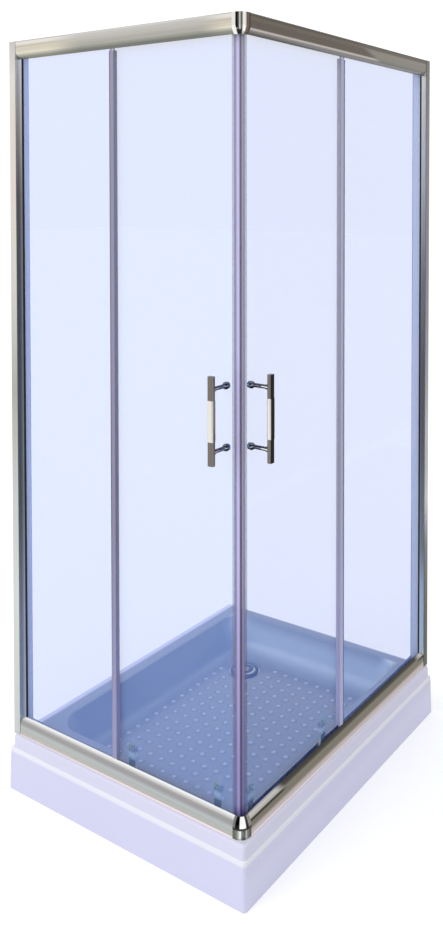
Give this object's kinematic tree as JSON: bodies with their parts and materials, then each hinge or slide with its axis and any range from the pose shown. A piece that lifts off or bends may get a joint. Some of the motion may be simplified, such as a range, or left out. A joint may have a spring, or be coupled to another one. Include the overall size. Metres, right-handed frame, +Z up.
{
  "type": "shower enclosure with sliding door",
  "caption": "Corner shower enclosure: white tray with an apron, curved satin rails, fixed glass panes and sliding glass doors that meet at the entry corner.",
  "frame": {"origin": "centre of the tray's footprint on the floor, under the centre foot", "axes": "+Z up; the entry corner is at +X and -Y, the walls are at the -X side and the +Y side"},
  "size_m": [0.8208, 1.0208, 2.05],
  "materials": {
    "tray_acrylic": "glossy white acrylic",
    "apron_panel": "glossy white",
    "zinc_steel": "zinc plated",
    "board": "raw chipboard",
    "foot_plastic": "matt black",
    "waste_chrome": "polished",
    "black_rubber": "matt",
    "trap_plastic": "matt white",
    "cover_chrome": "dark polished",
    "connector_chrome": "polished",
    "wall_profile_satin": "satin anodised",
    "side_profile_satin": "satin anodised",
    "gasket_black": "matt",
    "top_rail_satin": "satin anodised",
    "bottom_rail_satin": "satin anodised",
    "fixed_glass": "clear toughened",
    "door_glass": "clear toughened",
    "clear_seal": "translucent vinyl",
    "handle_satin": "satin",
    "sleeve_polished": "polished",
    "post_chrome": "polished",
    "guide_clear": "clear moulding",
    "wheel_nylon": "white nylon"
  },
  "bodies": {
    "enclosure": {"tray": "tray_acrylic", "apron_panel": "apron_panel", "apron_clips": "zinc_steel", "frame_bars": "zinc_steel", "leg_studs": "zinc_steel", "leg_nuts": "zinc_steel", "base_board": "board", "leg_feet": "foot_plastic", "waste_flange": "waste_chrome", "waste_gasket": "black_rubber", "left_glass_blocks": "black_rubber", "right_glass_blocks": "black_rubber", "left_stop_buffer": "black_rubber", "right_stop_buffer": "black_rubber", "trap_body": "trap_plastic", "bottom_corner_connector": "connector_chrome", "top_corner_connector": "connector_chrome", "left_wall_profile": "wall_profile_satin", "left_side_profile": "side_profile_satin", "left_frame_screws": "zinc_steel", "left_glass_gasket": "gasket_black", "left_top_rail": "top_rail_satin", "left_bottom_rail": "bottom_rail_satin", "left_fixed_glass": "fixed_glass", "left_fixed_seal": "clear_seal", "right_wall_profile": "wall_profile_satin", "right_side_profile": "side_profile_satin", "right_frame_screws": "zinc_steel", "right_glass_gasket": "gasket_black", "right_top_rail": "top_rail_satin", "right_bottom_rail": "bottom_rail_satin", "right_fixed_glass": "fixed_glass", "right_fixed_seal": "clear_seal"},
    "drain_cover": {"drain_cover": "cover_chrome"},
    "left_door": {"left_door_glass": "door_glass", "left_magnet_seal": "clear_seal", "left_trailing_seal": "clear_seal", "left_handle_bar": "handle_satin", "left_handle_sleeve": "sleeve_polished", "left_handle_posts": "post_chrome", "left_handle_screws": "post_chrome", "left_roller_brackets": "post_chrome", "left_bottom_guides": "guide_clear"},
    "left_front_top_wheel": {"left_front_top_wheel": "wheel_nylon"},
    "left_front_bottom_wheel": {"left_front_bottom_wheel": "wheel_nylon"},
    "left_rear_top_wheel": {"left_rear_top_wheel": "wheel_nylon"},
    "left_rear_bottom_wheel": {"left_rear_bottom_wheel": "wheel_nylon"},
    "right_door": {"right_door_glass": "door_glass", "right_magnet_seal": "clear_seal", "right_trailing_seal": "clear_seal", "right_handle_bar": "handle_satin", "right_handle_sleeve": "sleeve_polished", "right_handle_posts": "post_chrome", "right_handle_screws": "post_chrome", "right_roller_brackets": "post_chrome", "right_bottom_guides": "guide_clear"},
    "right_front_top_wheel": {"right_front_top_wheel": "wheel_nylon"},
    "right_front_bottom_wheel": {"right_front_bottom_wheel": "wheel_nylon"},
    "right_rear_top_wheel": {"right_rear_top_wheel": "wheel_nylon"},
    "right_rear_bottom_wheel": {"right_rear_bottom_wheel": "wheel_nylon"}
  },
  "joints": [
    {"name": "left_door_slide", "type": "slide", "parent": "enclosure", "child": "left_door", "axis": [-1, 0, 0], "range_m": [0, 0.3]},
    {"name": "right_door_slide", "type": "slide", "parent": "enclosure", "child": "right_door", "axis": [0, 1, 0], "range_m": [0, 0.37]},
    {"name": "drain_cover_lift", "type": "slide", "parent": "enclosure", "child": "drain_cover", "axis": [0, 0, 1], "range_m": [0, 0.06]},
    {"name": "left_front_top_wheel_spin", "type": "hinge", "parent": "left_door", "child": "left_front_top_wheel", "pos_m": [0.286, -0.4475, 2.0355], "axis": [0, 1, 0], "continuous": true},
    {"name": "left_front_bottom_wheel_spin", "type": "hinge", "parent": "left_door", "child": "left_front_bottom_wheel", "pos_m": [0.286, -0.4475, 0.172], "axis": [0, 1, 0], "continuous": true},
    {"name": "left_rear_top_wheel_spin", "type": "hinge", "parent": "left_door", "child": "left_rear_top_wheel", "pos_m": [0.011, -0.4475, 2.0355], "axis": [0, 1, 0], "continuous": true},
    {"name": "left_rear_bottom_wheel_spin", "type": "hinge", "parent": "left_door", "child": "left_rear_bottom_wheel", "pos_m": [0.011, -0.4475, 0.172], "axis": [0, 1, 0], "continuous": true},
    {"name": "right_front_top_wheel_spin", "type": "hinge", "parent": "right_door", "child": "right_front_top_wheel", "pos_m": [0.3475, -0.413, 2.0355], "axis": [1, 0, 0], "continuous": true},
    {"name": "right_front_bottom_wheel_spin", "type": "hinge", "parent": "right_door", "child": "right_front_bottom_wheel", "pos_m": [0.3475, -0.413, 0.172], "axis": [1, 0, 0], "continuous": true},
    {"name": "right_rear_top_wheel_spin", "type": "hinge", "parent": "right_door", "child": "right_rear_top_wheel", "pos_m": [0.3475, -0.082, 2.0355], "axis": [1, 0, 0], "continuous": true},
    {"name": "right_rear_bottom_wheel_spin", "type": "hinge", "parent": "right_door", "child": "right_rear_bottom_wheel", "pos_m": [0.3475, -0.082, 0.172], "axis": [1, 0, 0], "continuous": true}
  ],
  "couplings": [
    {"joint": "left_front_top_wheel_spin", "follows": "left_door_slide", "rad_per_m": -100},
    {"joint": "left_front_bottom_wheel_spin", "follows": "left_door_slide", "rad_per_m": -100},
    {"joint": "left_rear_top_wheel_spin", "follows": "left_door_slide", "rad_per_m": -100},
    {"joint": "left_rear_bottom_wheel_spin", "follows": "left_door_slide", "rad_per_m": -100},
    {"joint": "right_front_top_wheel_spin", "follows": "right_door_slide", "rad_per_m": -100},
    {"joint": "right_front_bottom_wheel_spin", "follows": "right_door_slide", "rad_per_m": -100},
    {"joint": "right_rear_top_wheel_spin", "follows": "right_door_slide", "rad_per_m": -100},
    {"joint": "right_rear_bottom_wheel_spin", "follows": "right_door_slide", "rad_per_m": -100}
  ]
}
